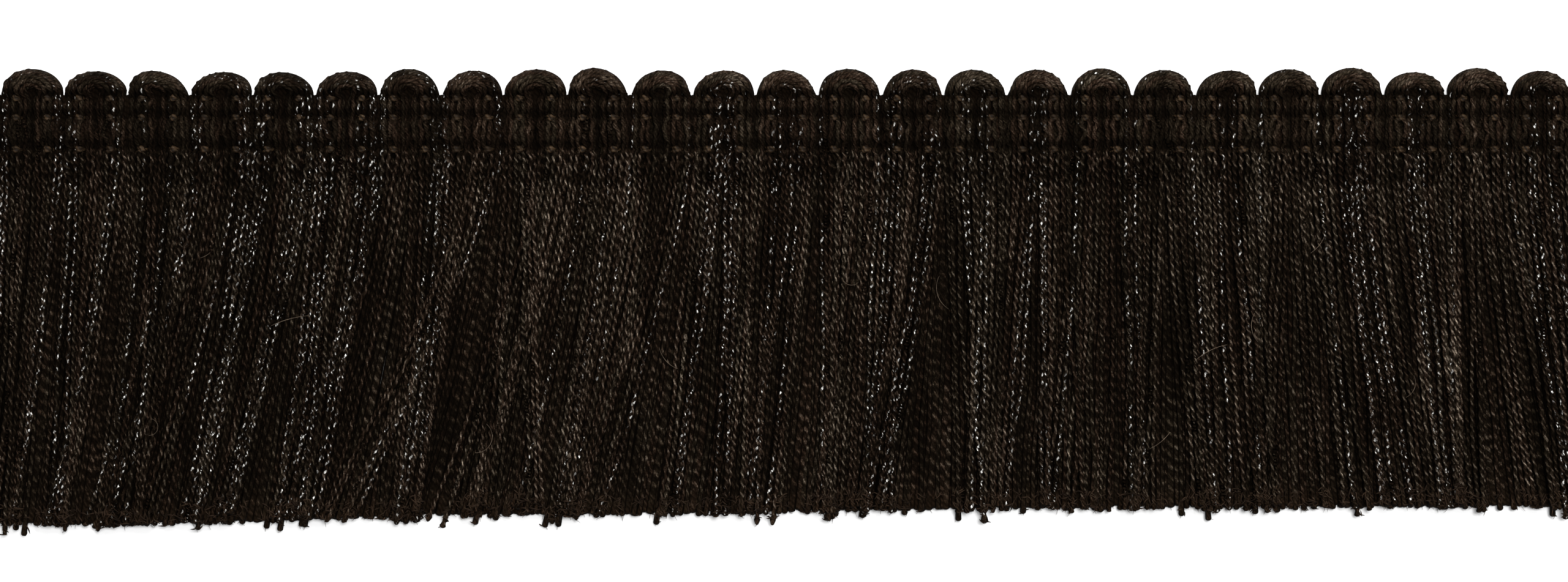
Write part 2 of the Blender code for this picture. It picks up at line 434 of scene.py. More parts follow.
def ply_marks_group():
    """Marks of a twisted yarn: the groove between its plies, the fibres along them and its strokes."""
    group, given, out = node_group(
        "ShaderNodeTree",
        "ply_marks",
        sockets("Vector", "Place") + sockets("Float", "Yarn", "Lay", "Twisted"),
        sockets("Float", "Angle", "Groove", "Fibre", "Stroke", "Height"),
    )
    parts = split_parts(group, given["Place"])
    turns = calc(group, "DIVIDE", parts[2], given["Lay"])
    # A round yarn isn't twisted as a solid, so its marks wind round it instead, each from its own start
    start = times(group, given["Yarn"], 97.0)
    wound = plus(group, times(group, turns, 0.8), start)
    winding = lessened(group, times(group, wound, TAU), given["Twisted"])
    angle = plus(group, calc(group, "ARCTAN2", parts[1], parts[0]), winding)
    wander = noise(group, 2600.0, vector=given["Place"], w=given["Yarn"])
    loose = times(group, minus(group, wander, 0.5), 2.6)
    crest = calc(group, "COSINE", times(group, plus(group, angle, loose), 2.0))
    groove = stretch(group, crest, 0.75, -0.55)
    # The fibres of a ply run nearly along the yarn, so the noise is long that way and drifts round slowly
    sway = minus(group, angle, times(group, turns, 2.4))
    round_it = calc(group, "COSINE", sway), calc(group, "SINE", sway)
    around = join_parts(group, *round_it, times(group, turns, 1.3))
    fibre = noise(group, 3.4, 4.0, around, times(group, given["Yarn"], 91.0), roughness=0.72)
    fibre = stretch(group, fibre, 0.28, 0.74)
    # Each time a ply crosses the face it is a little lighter or darker than the last time
    start = times(group, given["Yarn"], 300.0)
    stroke = noise(group, 1.0, 1.0, w=plus(group, times(group, turns, 1.9), start))
    stroke = stretch(group, stroke, 0.30, 0.70, 0.35, 1.55)
    height = minus(group, times(group, fibre, 0.55), groove)
    made = {"Angle": angle, "Groove": groove, "Fibre": fibre, "Stroke": stroke, "Height": height}
    feed(group, out, made)


def yarn_tint(tree, given, place):
    """The yarn's own tint, which drifts slowly along it, with stray pale fibres."""
    drift = times(tree, noise(tree, 260.0, vector=place), 0.5)
    tint = plus(tree, times(tree, given["Yarn"], 0.5), drift)
    colour = blend_colours(tree, stretch(tree, tint, 0.30, 0.70), given["Cool"], given["Warm"])
    speck = noise(tree, 5200.0, 1.0, vector=place)
    return blend_colours(tree, stretch(tree, speck, 0.66, 0.76, 0.0, 0.40), colour, PALE_FIBRE)


def ply_light(tree, given, facing_light, tight, crown):
    """How light the plies are, with painted shade in their grooves and down their sides, and no two strokes
    alike.
    """
    # In the heading, and at cut ends, fibres blur the grooves between the plies
    blur = calc(tree, "MAXIMUM", tight, given["Frayed"])
    blur = plus(tree, blur, times(tree, crown, 0.50))
    # Painted shade in the grooves between the plies, fainter where they are blurred
    depth = times(tree, given["Groove"], stretch(tree, blur, 0.0, 1.50, 0.90, 0.06))
    light = lessened(tree, stretch(tree, given["Fibre"], 0.10, 0.95, 0.10, 2.20), depth)
    # Yarns that lie behind are in the shade of those in front, more so in the heading
    behind = lessened(tree, stretch(tree, tight, 0.0, 1.0, 0.64, 0.80), given["Front"])
    light = lessened(tree, times(tree, light, facing_light), behind)
    own = add(tree, "ShaderNodeTexWhiteNoise", {"W": given["Yarn"]}, noise_dimensions="1D").outputs["Value"]
    own = plus(tree, times(tree, own, 0.8), 0.6)
    light = times(tree, light, given["Stroke"], own)
    # In the heading the yarns are pressed together, so their strokes are fainter
    pressed = times(tree, tight, 0.40)
    return plus(tree, lessened(tree, light, pressed), times(tree, pressed, 0.80, facing_light))


def painted_heading_shade(tree, light, x, height, between):
    """Painted shade: darkens the yarns at the rows of binding and in the gaps between the legs. between is 1
    where there are such gaps.
    """
    for row in ROW_Y:
        # Painted shade: the yarns are darker where they turn down into each row of binding, and lighter below
        # it
        away = calc(tree, "ABSOLUTE", minus(tree, height, row + 0.0005))
        light = times(tree, light, stretch(tree, away, 0.0002, 0.0010, 0.30, 1.0))
    leg = calc(tree, "DIVIDE", minus(tree, x, TRIM_LEFT), LEG_PITCH)
    off_middle = calc(tree, "ABSOLUTE", minus(tree, calc(tree, "FRACT", leg), 0.5))
    return lessened(tree, light, times(tree, stretch(tree, off_middle, 0.30, 0.48), between, 0.62))


def yarn_tone_group():
    """Colour of a yarn along the trim: its tint, the light on its plies, and broad drifts of light."""
    group, given, out = node_group(
        "ShaderNodeTree",
        "yarn_tone",
        sockets("Float", "Yarn", "Groove", "Fibre", "Facing", "Stroke", "Frayed", "Front")
        + sockets("Color", "Warm", "Cool"),
        sockets("Color", "Color"),
    )
    place = object_place(group)
    x, height, _ = split_parts(group, place)
    tight, crown = (stretch(group, height, *fade) for fade in (HEADING_FADE, CROWN_FADE))
    # Painted shade: a yarn is darker where its surface turns away from the face of the trim, less so in the
    # heading
    side = stretch(group, tight, 0.0, 1.0, 0.05, 0.55)
    facing_light = stretch(group, given["Facing"], 0.40, 1.0)
    facing_light = times(group, facing_light, minus(group, 1.1, side))
    facing_light = plus(group, side, facing_light)
    light = ply_light(group, given, facing_light, tight, crown)
    light = painted_heading_shade(group, light, x, height, minus(group, tight, crown))
    # Painted shade: the yarns are a little darker towards the left
    left_shade = stretch(group, x, TRIM_LEFT, TRIM_LEFT + 0.080, 0.72, 1.0)
    grain = stretch(group, noise(group, 6200.0, vector=place), 0.30, 0.70, 0.42, 1.66)
    # Whole clumps of strands catch more or less light
    stretched = add(group, "ShaderNodeMapping", {"Vector": place, "Scale": (1.0, 0.12, 1.0)}).outputs[0]
    clump = stretch(group, noise(group, 420.0, vector=stretched), 0.32, 0.68, 0.42, 1.60)
    light = times(group, light, left_shade, grain, clump)
    # Cut ends are felted, without strokes
    felted = times(group, given["Frayed"], 0.75)
    light = plus(group, lessened(group, light, felted), times(group, felted, 0.21, facing_light))
    heading = stretch(group, tight, 0.0, 1.0, 0.84, 0.44)
    crowned = stretch(group, crown, 0.0, 1.0, 1.0, 1.35)
    light = times(group, light, heading, crowned)
    colour = yarn_tint(group, given, place)
    colour = blend_colours(group, times(group, given["Frayed"], 0.7), colour, FRAYED_COLOUR)
    # Where a fibre catches the light it is paler and greyer
    greyed = stretch(group, light, 0.25, 1.4, 0.0, 0.80)
    greyed = times(group, greyed, stretch(group, tight, 0.0, 1.0, 1.0, 0.75))
    colour = blend_colours(group, greyed, colour, GREYED_COLOUR)
    shade = add(group, "ShaderNodeCombineColor", {0: light, 1: light, 2: light}).outputs[0]
    feed(group, out, {"Color": blend_colours(group, 1.0, colour, shade, "MULTIPLY")})


def new_material(name):
    """Starts a material. Returns it, its tree and its main shader."""
    material = bpy.data.materials.new(name)
    material.use_nodes = True
    shader = material.node_tree.nodes["Principled BSDF"]
    return material, material.node_tree, shader


def relief(tree, height, distance):
    return add(tree, "ShaderNodeBump", {"Height": height, "Distance": distance}).outputs[0]


def yarn_material(name, metallic):
    """Charcoal two-ply yarn. The metallic kind has a bright filament wound round it the other way."""
    sizes, colours, _ = settings()
    material, tree, shader = new_material(name)
    place, yarn = attribute(tree, "place", "Vector"), attribute(tree, "tint")
    facing, fine = attribute(tree, "facing"), attribute(tree, "fine")
    given = {"Place": place, "Yarn": yarn, "Twisted": fine, "Lay": sizes.lay}
    marks = add(tree, "ShaderNodeGroup", given, node_tree=bpy.data.node_groups["ply_marks"]).outputs
    given = {title: marks[title] for title in ("Groove", "Fibre", "Stroke")}
    given.update({"Yarn": yarn, "Facing": facing, "Front": fine, "Frayed": attribute(tree, "frayed")})
    given.update({"Warm": rgba(colours.warm), "Cool": rgba(colours.cool)})
    tone = add(tree, "ShaderNodeGroup", given, node_tree=bpy.data.node_groups["yarn_tone"])
    colour = tone.outputs["Color"]
    rough = stretch(tree, marks["Fibre"], 0.0, 1.0, 0.95, 0.75)
    if metallic:
        filament = filament_mask(tree, place, yarn, facing, marks["Angle"], sizes.lay)
        # The plies of a metallic yarn are darker than a plain one's
        colour = blend_colours(tree, 1.0, colour, METALLIC_SHADE, "MULTIPLY")
        colour = blend_colours(tree, filament, colour, rgba(colours.glint))
        rough = plus(tree, times(tree, filament, -0.62), rough)
        feed(tree, shader, {"Metallic": filament})
    feed(tree, shader, {"Base Color": colour, "Roughness": rough})
    feed(tree, shader, {"Specular IOR Level": 0.060, "Specular Tint": WARM_SHEEN})
    feed(tree, shader, {"Normal": relief(tree, marks["Height"], 0.00005)})
    return material


def filament_mask(tree, place, yarn, facing, angle, lay):
    """Where the filament shows: two starts of a helix against the plies' twist, with gaps."""
    along = split_parts(tree, place)[2]
    wound = 1 / lay + 1 / FILAMENT_LAY
    turn = minus(tree, angle, times(tree, along, TAU * wound))
    strand = stretch(tree, calc(tree, "COSINE", times(tree, turn, 2.0)), 0.20, 0.58)
    # Here and there fibres cover it, and on the crowns most of it is worn or turned under
    spot = join_parts(tree, times(tree, along, 1000.0), angle, yarn)
    cover = noise(tree, 1.1, 1.0, spot, times(tree, yarn, 57.0))
    height = split_parts(tree, object_place(tree))[1]
    cover = minus(tree, cover, stretch(tree, height, *CROWN_FADE, 0.0, 0.10))
    # For some millimetres at a time it runs inside the yarn
    start = times(tree, yarn, 400.0)
    run = noise(tree, 1.0, w=plus(tree, times(tree, along, 190.0), start))
    covered, inside = stretch(tree, cover, 0.44, 0.62), stretch(tree, run, 0.38, 0.53)
    return times(tree, strand, covered, inside, stretch(tree, facing, 0.78, 0.92))


def thread_material():
    """Fine binding thread: brownish, a little shiny, with its own close twist."""
    colours = settings()[1]
    material, tree, shader = new_material("binding_thread_looks")
    place = object_place(tree)
    waves = {"Vector": place, "Scale": 900.0, "Distortion": 1.5, "Detail": 1.0}
    twist = add(tree, "ShaderNodeTexWave", waves, bands_direction="DIAGONAL").outputs["Fac"]
    drift = stretch(tree, noise(tree, 700.0, 3.0, place), 0.25, 0.75, 0.5, 1.0)
    worn = stretch(tree, noise(tree, 190.0, 1.0, place), 0.30, 0.70, 0.35, 1.15)
    ridge = times(tree, twist, drift, worn)
    # Painted shade: the thread is darker between the ridges of its twist, and its colour also drifts at random
    colour = blend_colours(tree, ridge, rgba(colours.thread, 0.12), rgba(colours.thread, 0.85))
    rough = stretch(tree, ridge, 0.0, 1.0, 0.62, 0.40)
    feed(tree, shader, {"Base Color": colour, "Roughness": rough, "Specular IOR Level": 0.06})
    feed(tree, shader, {"Normal": relief(tree, twist, 0.00003)})
    return material


def fibre_material(name, colour, spread):
    """Loose fibres, each stretch a little lighter or darker than the next."""
    material, tree, shader = new_material(name)
    drift = noise(tree, 900.0, vector=object_place(tree))
    shade = stretch(tree, drift, 0.3, 0.7)
    tinted = blend_colours(tree, shade, rgba(colour, 1 - spread), rgba(colour, 1 + spread))
    rough = stretch(tree, drift, 0.3, 0.7, 0.90, 0.65)
    feed(tree, shader, {"Base Color": tinted, "Roughness": rough, "Specular IOR Level": 0.05})
    return material


class Lines:
    """Open lines gathered for one piece, with the values that each of their points carries."""

    def __init__(self):
        self.points, self.links, self.values, self.count, self.strips = [], [], {}, 0, 0.0

    def add_strip(self, size):
        """Sets a strip of the piece's map aside. Returns where it starts and its size."""
        self.strips += size
        return {"strip": self.strips - size, "strip_size": size}

    def add(self, points, **values):
        """Adds a line. Each value is one number for all its points, or one for each."""
        number = len(points)
        first = np.arange(self.count, self.count + number - 1)
        self.points.append(points)
        self.links.append(np.column_stack((first, first + 1)))
        for name, value in values.items():
            self.values.setdefault(name, []).append(np.broadcast_to(np.asarray(value, float), number))
        self.count += number

    def object(self, name):
        """Makes an object of the lines."""
        points, links = np.concatenate(self.points), np.concatenate(self.links)
        data = bpy.data.meshes.new(name + "_lines")
        data.vertices.add(len(points))
        data.vertices.foreach_set("co", points.astype(np.float32).ravel())
        data.edges.add(len(links))
        data.edges.foreach_set("vertices", links.astype(np.int32).ravel())
        for key, parts in self.values.items():
            layer = data.attributes.new(key, "FLOAT", "POINT")
            layer.data.foreach_set("value", np.concatenate(parts).astype(np.float32))
        made = bpy.data.objects.new(name, data)
        bpy.context.collection.objects.link(made)
        return made


def geometry_tree(name, inputs):
    """Starts a geometry node tree that is given a geometry and the named inputs, and makes a geometry."""
    geometry = sockets("Geometry", "Geometry")
    return node_group("GeometryNodeTree", name, geometry + inputs, geometry)


def named(tree, attribute, data_type="FLOAT"):
    """A value that each point of the geometry carries."""
    return add(tree, "GeometryNodeInputNamedAttribute", {"Name": attribute}, data_type=data_type).outputs[0]


def store(tree, geometry, attribute, value, data_type="FLOAT"):
    """Gives each point of the geometry a value to carry."""
    held = {"Geometry": geometry, "Name": attribute, "Value": value}
    return add(tree, "GeometryNodeStoreNamedAttribute", held, data_type=data_type, domain="POINT").outputs[0]


def rim(tree, sides):
    """A unit circle that remembers, at each point, its place on the circle and its number."""
    shape = {"Resolution": sides, "Radius": 1.0}
    circle = add(tree, "GeometryNodeCurvePrimitiveCircle", shape, mode="RADIUS").outputs[0]
    spot = add(tree, "GeometryNodeInputPosition").outputs[0]
    circle = store(tree, circle, "rim", spot, "FLOAT_VECTOR")
    return store(tree, circle, "rim_number", add(tree, "GeometryNodeInputIndex").outputs[0])


def two_ply_section(tree, circle, radius, spread):
    """Draws the unit circle out to the outline of two plies lying side by side."""
    spot = named(tree, "rim", "FLOAT_VECTOR")
    parts = split_parts(tree, spot)
    side = times(tree, calc(tree, "ABSOLUTE", parts[0]), spread)
    drop = times(tree, parts[1], spread)
    rise = minus(tree, times(tree, radius, radius), times(tree, drop, drop))
    reach = plus(tree, side, calc(tree, "SQRT", rise))
    outline = add(tree, "ShaderNodeVectorMath", {0: spot, "Scale": reach}, operation="SCALE").outputs[0]
    return add(tree, "GeometryNodeSetPosition", {"Geometry": circle, "Position": outline}).outputs[0]


def swept(tree, curve, section, scale):
    """Draws the section along the curve, with closed ends."""
    sweep = {"Curve": curve, "Profile Curve": section, "Scale": scale, "Fill Caps": True}
    return add(tree, "GeometryNodeCurveToMesh", sweep).outputs[0]


def painted(tree, geometry, material):
    """Makes the geometry a plain mesh with the material."""
    real = add(tree, "GeometryNodeRealizeInstances", {0: geometry}).outputs[0]
    return add(tree, "GeometryNodeSetMaterial", {"Geometry": real, "Material": material}).outputs[0]


def tubes(tree, lines, radius, sides, material):
    """Draws round tubes along the lines, of the radius times each point's girth."""
    curve = add(tree, "GeometryNodeMeshToCurve", {"Mesh": lines}).outputs[0]
    scale = times(tree, named(tree, "girth"), radius)
    return painted(tree, swept(tree, curve, rim(tree, sides), scale), material)


def yarn_tree():
    """Turns lines into two-ply yarns: twisted ones where fine is 1, and round smooth ones elsewhere."""
    tree, given, out = geometry_tree(
        "two_ply_yarn",
        sockets("Float", "Ply radius", "Ply spread", "Lay") + sockets("Material", "Plain", "Metallic"),
    )
    curve = add(tree, "GeometryNodeMeshToCurve", {"Mesh": given["Geometry"]}).outputs[0]
    chosen = {"Geometry": curve, "Selection": named(tree, "fine")}
    fine, coarse = add(tree, "GeometryNodeSeparateGeometry", chosen, domain="CURVE").outputs
    turns = calc(tree, "DIVIDE", named(tree, "along"), given["Lay"])
    twist = plus(tree, times(tree, turns, -TAU), named(tree, "turn"))
    fine = add(tree, "GeometryNodeSetCurveTilt", {"Curve": fine, "Tilt": twist}).outputs[0]
    section = two_ply_section(tree, rim(tree, YARN_SIDES), given["Ply radius"], given["Ply spread"])
    round_size = plus(tree, given["Ply radius"], times(tree, given["Ply spread"], 0.6))
    scale = times(tree, named(tree, "girth"), round_size)
    both = add(tree, "GeometryNodeJoinGeometry")
    feed(tree, both, {0: swept(tree, fine, section, named(tree, "girth"))})
    feed(tree, both, {0: swept(tree, coarse, rim(tree, YARN_SIDES), scale)})
    # A point's place on its yarn: where it is round it, and how far along
    x, y, _ = split_parts(tree, named(tree, "rim", "FLOAT_VECTOR"))
    spot = join_parts(tree, x, y, named(tree, "along"))
    placed = store(tree, both.outputs[0], "place", spot, "FLOAT_VECTOR")
    rise = split_parts(tree, add(tree, "GeometryNodeInputNormal").outputs[0])[2]
    facing = store(tree, placed, "facing", calc(tree, "ABSOLUTE", rise))
    plain = painted(tree, facing, given["Plain"])
    bright = {"Geometry": plain, "Selection": named(tree, "metal"), "Material": given["Metallic"]}
    feed(tree, out, {0: add(tree, "GeometryNodeSetMaterial", bright).outputs[0]})


def fibre_tree():
    """Turns lines into fine fibres of a given radius."""
    inputs = sockets("Float", "Radius") + sockets("Material", "Material")
    tree, given, out = geometry_tree("fine_fibre", inputs)
    feed(tree, out, {0: tubes(tree, given["Geometry"], given["Radius"], FIBRE_SIDES, given["Material"])})


def binding_tree():
    """One row of binding: two threads that surface over each leg, and one below, locked in the gaps."""
    tree, given, out = geometry_tree(
        "binding_row",
        sockets("Float", "Left end", "Length", "Row", "Leg pitch", "Middle height", "Rise", "Radius")
        + sockets("Int", "Points")
        + sockets("Material", "Material"),
    )
    far = plus(tree, given["Left end"], given["Length"])
    start, end = (join_parts(tree, x, given["Row"], 0.0) for x in (given["Left end"], far))
    ends = {"Count": given["Points"], "Start Location": start, "Offset": end}
    line = add(tree, "GeometryNodeMeshLine", ends, mode="END_POINTS").outputs[0]
    x = split_parts(tree, add(tree, "GeometryNodeInputPosition").outputs[0])[0]
    ahead = minus(tree, x, given["Left end"])
    phase = times(tree, calc(tree, "DIVIDE", ahead, given["Leg pitch"]), TAU)
    # A thread is highest over the middle of a leg, where the second term makes its rise steeper
    wave = times(tree, calc(tree, "COSINE", phase), -0.62)
    steeper = calc(tree, "COSINE", times(tree, phase, 2.0))
    wave = plus(tree, wave, times(tree, steeper, 0.38))
    swing = calc(tree, "SINE", phase)
    joined = add(tree, "GeometryNodeJoinGeometry")
    for thread in BINDING_THREADS:
        z = plus(tree, times(tree, wave, thread.rise), thread.drop)
        z = plus(tree, given["Middle height"], times(tree, z, given["Rise"]))
        y = plus(tree, times(tree, swing, thread.cross), thread.side)
        shift = join_parts(tree, 0.0, times(tree, y, given["Radius"]), z)
        moved = add(tree, "GeometryNodeSetPosition", {"Geometry": line, "Offset": shift}).outputs[0]
        plump = plus(tree, times(tree, wave, 0.80 * thread.rise), 0.52)
        feed(tree, joined, {0: store(tree, moved, "girth", plump)})
    threads = tubes(tree, joined.outputs[0], given["Radius"], THREAD_SIDES, given["Material"])
    feed(tree, out, {0: threads})


def grown(obj, tree_name, **values):
    """Runs a geometry node tree on the object and keeps the result as its plain, smooth mesh."""
    tree = bpy.data.node_groups[tree_name]
    modifier = obj.modifiers.new("grow", "NODES")
    modifier.node_group = tree
    for socket in tree.interface.items_tree:
        if socket.in_out == "INPUT" and socket.name != "Geometry":
            modifier[socket.identifier] = values[socket.name.lower().replace(" ", "_")]
    graph = bpy.context.evaluated_depsgraph_get()
    done = obj.evaluated_get(graph)
    mesh = bpy.data.meshes.new_from_object(done, preserve_all_data_layers=True, depsgraph=graph)
    mesh.name = obj.name
    obj.modifiers.remove(modifier)
    lines, obj.data = obj.data, mesh
    bpy.data.meshes.remove(lines)
    mesh.shade_smooth()
    drop_empty_slots(mesh)


def drop_empty_slots(mesh):
    """Takes material slots that no face uses off the mesh."""
    numbers = np.empty(len(mesh.polygons), np.int32)
    mesh.polygons.foreach_get("material_index", numbers)
    used = [k for k in range(len(mesh.materials)) if (numbers == k).any()]
    kept = [mesh.materials[k] for k in used]
    mesh.materials.clear()
    for material in kept:
        mesh.materials.append(material)
    mesh.polygons.foreach_set("material_index", np.searchsorted(used, numbers).astype(np.int32))


def point_values(mesh, name):
    """Reads the value that each point carries."""
    values = np.empty(len(mesh.vertices), np.float32)
    mesh.attributes[name].data.foreach_get("value", values)
    return values


def unroll_map(mesh, strips):
    """Gives the mesh a map named OFBake on which each line's surface is a strip of its own."""
    loops = len(mesh.loops)
    corner = np.empty(loops, np.int32)
    mesh.loops.foreach_get("vertex_index", corner)
    starts = np.empty(len(mesh.polygons), np.int32)
    mesh.polygons.foreach_get("loop_start", starts)
    totals = np.diff(np.append(starts, loops))
    side = point_values(mesh, "rim_number")[corner]
    span = np.repeat(np.maximum.reduceat(side, starts) - np.minimum.reduceat(side, starts), totals)
    wraps = (span > YARN_SIDES / 2) & (side < 0.5) & (np.repeat(totals, totals) == 4)
    share = (side + wraps * YARN_SIDES) / YARN_SIDES
    u = 0.002 + 0.996 * point_values(mesh, "reach")[corner]
    u += np.where(np.repeat(totals, totals) > 4, 0.001 * np.sin(TAU * share), 0.0)
    inside = (0.06 + 0.88 * share) * point_values(mesh, "strip_size")[corner]
    v = (point_values(mesh, "strip")[corner] + inside) / strips
    layer = mesh.uv_layers.new(name="OFBake")
    layer.data.foreach_set("uv", np.column_stack((u, v)).astype(np.float32).ravel())


def drop_values(mesh, *names):
    """Takes values that are no longer needed off the mesh."""
    for name in names:
        if name in mesh.attributes:
            mesh.attributes.remove(mesh.attributes[name])


def lie_at(share):
    """Depth, lean and difference in lean of the strands at a share of the length."""
    shares, *values = zip(*SKIRT)
    return [float(np.interp(share, shares, column)) for column in values]


def smooth_route(keys, girths, step, crown_step):
    """Points on a smooth curve through the keys, about a step apart, with their lengths along and girths."""
    at = np.concatenate(([0.0], np.cumsum(np.linalg.norm(np.diff(keys, axis=0), axis=1))))
    slope = np.gradient(keys, at, axis=0)
    # Steps are shorter over the crown, where the route bends
    close = np.where(keys[:, 1] > CROWN_FADE[0], 1 / crown_step, 1.0)
    effort = np.concatenate(([0.0], np.cumsum(np.diff(at) * (close[1:] + close[:-1]) / 2)))
    along = np.interp(np.linspace(0.0, effort[-1], max(4, round(effort[-1] / step))), effort, at)
    low = np.clip(np.searchsorted(at, along, side="right") - 1, 0, len(keys) - 2)
    size = (at[low + 1] - at[low])[:, None]
    t = (along - at[low])[:, None] / size
    points = (2 * t**3 - 3 * t**2 + 1) * keys[low] + (t**3 - 2 * t**2 + t) * size * slope[low]
    points += (3 * t**2 - 2 * t**3) * keys[low + 1] + (t**3 - t**2) * size * slope[low + 1]
    return points, along, np.interp(along, at, girths)


def leg_keys(seat, loop_x, side, rng):
    """A yarn's places up one leg, from its root to the top row."""
    keys = []
    for section in LEG:
        across = seat.across * (section.width / 2 - YARN_REACH * section.girth)
        up = seat.up * (section.thick / 2 - YARN_REACH * section.girth)
        x = loop_x + side * (LEG_PITCH / 2 + across) + rng.normal(0, section.stray)
        keys.append((x, CROWN_LINE - section.depth, THICK / 2 + up, section.girth))
    return keys


def arch_keys(seat, loop_x, crown, slim, skew, rng):
    """A yarn's places over the crown, from the left leg to the right.

    crown is the crown's extra height, slim how much narrower it is and skew how far its top leans to +X.
    """
    half_width = LEG_PITCH / 2 + FULL_WIDTH / 2 - YARN_REACH - CROWN_GAP - slim
    outer = half_width, ARCH_DEPTH + crown - YARN_REACH
    inner = EYE_REACH + YARN_REACH * 0.9, EYE_RISE + YARN_REACH * 0.9
    share = (seat.across + 1) / 2
    reach = [low + share * (high - low) for low, high in zip(inner, outer)]
    up = seat.up * (THICK / 2 - YARN_REACH)
    keys = []
    for step in range(ARCH_STATIONS):
        angle = ARCH_START + step / (ARCH_STATIONS - 1) * (math.pi - 2 * ARCH_START)
        x = loop_x + reach[0] * math.cos(angle) + skew * max(0.0, math.sin(angle)) + rng.normal(0, ARCH_STRAY)
        y = CROWN_LINE - ARCH_DEPTH + reach[1] * math.sin(angle)
        keys.append((x, y, THICK / 2 + up, ARCH_GIRTH))
    return keys


def leg_clumps(leg_x, rng):
    """The strands below a leg part into two clumps. Returns the ways of both, outer one first."""
    sizes = settings()[0]
    spread = lie_at((leg_x - TRIM_LEFT) / (LOOP_PITCH * len(BUNDLES)))[2]
    shared = rng.normal(0, spread) * sizes.fanning
    split = int(rng.integers(FEWEST_LANES, LANES + 1 - FEWEST_LANES))
    clumps = []
    for lanes in (range(split), range(split, LANES)):
        lean = shared + rng.normal(0, CLUMP_OWN * spread) * sizes.fanning
        lean = float(np.clip(lean, -MOST_LEAN * spread, MOST_LEAN * spread))
        longer = rng.normal(0, sizes.uneven) * spread / USUAL_SPREAD
        clumps.append(Clump(lanes, lean, longer, rng.uniform(*CLUMP_UP), rng.uniform(*CLUMP_SQUEEZE)))
    return clumps


def strand_keys(lane, layer, loop_x, side, clumps, rng):
    """A strand's places from just below its root to its cut end. clumps holds its leg's two clumps."""
    sizes = settings()[0]
    way = LAYERS[layer]
    clump = clumps[lane >= len(clumps[0].lanes)]
    leg_x = loop_x + side * LEG_PITCH / 2
    places = lane, np.mean(clump.lanes)
    offset, middle = (side * ((LANES - 1) / 2 - at) * LANE_PITCH + way.shift for at in places)
    depth, lean, _ = lie_at((leg_x + offset - TRIM_LEFT) / (LOOP_PITCH * len(BUNDLES)))
    longer = rng.uniform(*LONG_BY) if layer != "deep" and rng.random() < LONG_SHARE else 0.0
    depth += clump.longer * way.clump + rng.uniform(-sizes.uneven, sizes.uneven) / 2 + longer + way.longer
    astray = float(np.clip(rng.standard_t(3), -4, 4)) * sizes.stray
    lean += clump.lean * way.clump + astray * way.stray
    rest = way.heights[lane % 2] + rng.uniform(-HEIGHT_STRAY, HEIGHT_STRAY)
    drawn = clump.squeeze * way.squeeze
    power = rng.uniform(*LEAN_POWER)
    waves = []
    for wave in WAVES:
        number, start = rng.uniform(*wave.number), rng.uniform(0, TAU)
        waves.append((number, start, rng.uniform(*wave.width) * way.stray))
    keys = []
    for step in range(SKIRT_KEYS):
        share = step / (SKIRT_KEYS - 1)
        inward = (middle - offset) * drawn * min(1.0, 1.6 * share)
        x = leg_x + offset + inward + lean * (0.04 + 0.96 * share**power)
        for number, start, size in waves:
            x += size * math.sin(TAU * number * share + start) * min(1.0, 3 * share)
        z = rest + 0.00006 * math.sin(TAU * 2.3 * share + waves[0][1])
        z += clump.up * way.clump * min(1.0, 2.5 * share)
        keys.append((x, CROWN_LINE - SKIRT_START - share * (depth - SKIRT_START), z, way.girth))
    return keys


def seat_lanes():
    """For each seat, the lane of its strand below the leg, counted from the leg's outer side."""
    lanes = {}
    for layer in ("front", "back"):
        members = [k for k, seat in enumerate(SEATS) if seat.layer == layer]
        members.sort(key=lambda k: -SEATS[k].across)
        lanes.update({k: lane for lane, k in enumerate(members)})
    return lanes


def wandering_turn(along, rng):
    """How far a yarn's plies are turned ahead of an even twist: tighter or looser, and never quite steady."""
    tighter = rng.normal(0, LAY_STRAY) * TAU / settings()[0].lay
    waves = [(rng.uniform(*SWAY_SIZES), rng.uniform(*SWAY_LENGTHS), rng.uniform(0, TAU)) for _ in range(3)]
    sway = sum(size * np.sin(TAU * along / length + start) for size, length, start in waves)
    return rng.uniform(0, TAU) + tighter * along + sway


def add_yarn(lines, keys, layer, bright, rng, crown_step=CROWN_STEPS["inside"]):
    """Adds one yarn through the keys. Returns its two ends, each with the way that it points."""
    keys = np.array(keys)
    points, along, girth = smooth_route(keys[:, :3], keys[:, 3], STEPS_ALONG[layer], crown_step)
    ways = [points[0] - points[1], points[-1] - points[-2]]
    ways = [way / np.linalg.norm(way) for way in ways]
    # Each end is rounded off in two steps
    rounding = [end + way * TIP_STEPS[:, None] * TIP_LENGTH for end, way in zip(points[[0, -1]], ways)]
    points = np.vstack((rounding[0], points, rounding[1][::-1]))
    steps = TIP_STEPS * TIP_LENGTH
    along = np.concatenate((-steps, along, along[-1] + steps[::-1])) + TIP_LENGTH
    girth = np.concatenate((girth[0] * TIP_GIRTHS, girth, girth[-1] * TIP_GIRTHS[::-1]))
    from_end = np.minimum(along, along[-1] - along)
    if bright:
        # Drawn tight over the crown, a metallic yarn is no thicker than the rest
        girth *= np.interp(points[:, 1], DRAWN_TIGHT, (METALLIC_GIRTH, 1.0))
    # Cut ends open out a little
    if layer != "deep":
        girth *= 1.0 + OPENED_GIRTH * np.clip(1.0 - from_end / OPEN_LENGTH, 0, 1)
    lines.add(
        points,
        along=along,
        girth=girth,
        reach=along / along[-1],
        frayed=np.clip(1.15 - from_end / FRAYED_LENGTH, 0, 1),
        turn=wandering_turn(along, rng),
        tint=rng.random(),
        metal=float(bright),
        fine=float(layer == "front"),
        **lines.add_strip(STRIP_SIZES[layer]),
    )
    return [(points[0], ways[0]), (points[-1], ways[1])]


